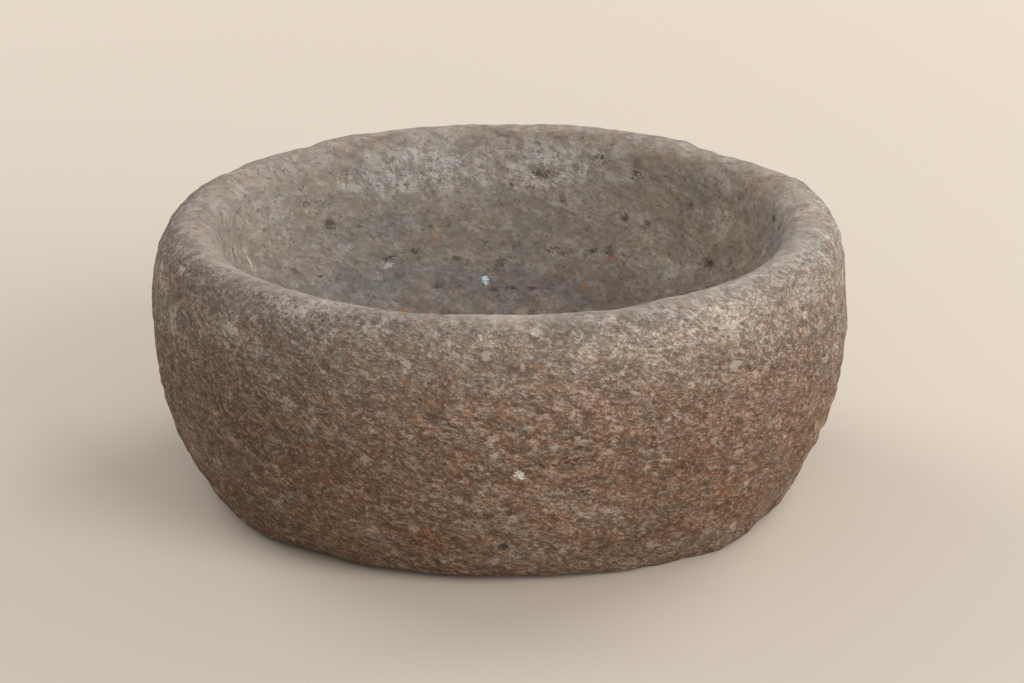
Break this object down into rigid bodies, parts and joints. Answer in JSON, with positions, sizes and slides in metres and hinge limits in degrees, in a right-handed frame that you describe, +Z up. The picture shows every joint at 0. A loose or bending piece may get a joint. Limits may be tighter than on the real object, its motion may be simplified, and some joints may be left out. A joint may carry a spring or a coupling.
{
  "type": "stone bowl",
  "caption": "Round hand-carved stone bowl with a thick rounded rim, a full belly, a smooth dished hollow and a flat foot.",
  "frame": {"origin": "centre of the flat foot, on the surface that the bowl stands on", "axes": "+Z up along the bowl's axis, out of its mouth; the bowl is round, so +X and +Y are free, and the worn pale side of the rim is towards +X, as seen by someone who looks along +Y"},
  "size_m": [0.24, 0.24, 0.095],
  "materials": {
    "stone": "matt, finely pecked grey-brown stone, worn smooth at the rim"
  },
  "bodies": {
    "root": {"stone_bowl": "stone"}
  },
  "joints": []
}
